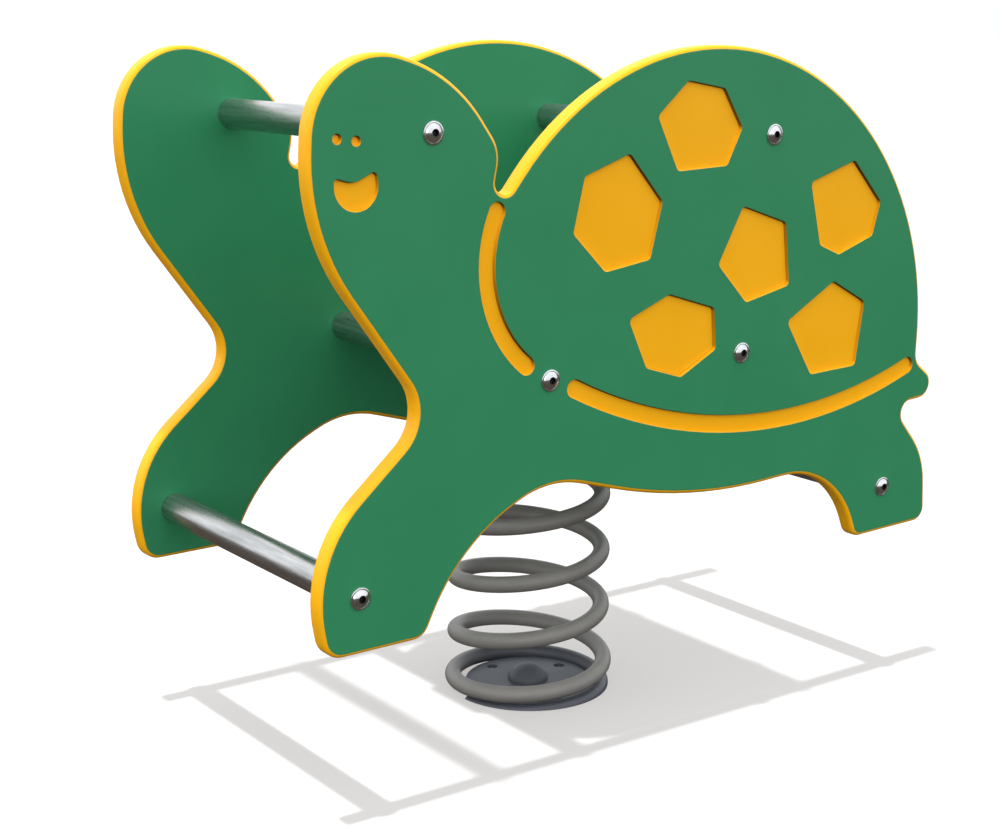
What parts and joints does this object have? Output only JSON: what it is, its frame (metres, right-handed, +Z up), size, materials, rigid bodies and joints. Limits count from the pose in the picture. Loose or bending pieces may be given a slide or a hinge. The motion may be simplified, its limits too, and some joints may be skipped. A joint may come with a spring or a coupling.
{
  "type": "spring rider",
  "caption": "Turtle-shaped spring rider: two flat animal panels on cross bars, a seat with a backrest between them, on a coil spring round a bolted base plate.",
  "frame": {"origin": "centre of the base plate's underside, on the axis of the spring, at ground level", "axes": "+X forwards to the turtle's head, +Y to the rider's left, +Z up"},
  "size_m": [0.8879, 0.4542, 0.7812],
  "materials": {
    "green_board": "semi-gloss green skins on a yellow core",
    "bar_steel": "brushed",
    "fastener_steel": "polished",
    "spring_grey": "satin powder coat",
    "plate_grey": "satin powder coat",
    "plug_steel": "turned",
    "cap_plastic": "matte"
  },
  "bodies": {
    "base": {"base_plate": "plate_grey", "centre_bolt": "fastener_steel", "centre_cap": "cap_plastic", "lower_clamp_dogs": "plate_grey", "lower_dog_bolts": "fastener_steel"},
    "spring_middle": {"spring": "spring_grey"},
    "rider": {"upper_clamp_dogs": "plate_grey", "upper_dog_bolts": "fastener_steel", "top_plate": "plate_grey", "bar_saddles": "plate_grey", "seat_front_bar": "bar_steel", "seat_rear_bar": "bar_steel", "handle_bar": "bar_steel", "front_foot_bar": "bar_steel", "rear_foot_bar": "bar_steel", "backrest_bar": "bar_steel", "bar_end_plugs": "plug_steel", "seat_board": "green_board", "seat_bolts": "fastener_steel", "seat_nuts": "fastener_steel", "backrest_board": "green_board", "backrest_clips": "fastener_steel", "backrest_clip_bolts": "fastener_steel", "backrest_clip_nuts": "fastener_steel", "backrest_brackets": "fastener_steel", "bracket_bolts": "fastener_steel", "bracket_nuts": "fastener_steel", "left_panel": "green_board", "right_panel": "green_board", "left_panel_bolts": "fastener_steel", "right_panel_bolts": "fastener_steel"}
  },
  "joints": [
    {"name": "rock_fore_aft", "type": "hinge", "parent": "base", "child": "spring_middle", "pos_m": [0, 0, 0.204], "axis": [0, 1, 0], "range_deg": [-15, 15], "stiffness_Nm_per_rad": 600, "deforming": ["spring"]},
    {"name": "rock_sideways", "type": "hinge", "parent": "spring_middle", "child": "rider", "pos_m": [0, 0, 0.204], "axis": [1, 0, 0], "range_deg": [-10, 10], "stiffness_Nm_per_rad": 600, "deforming": ["spring"]}
  ]
}
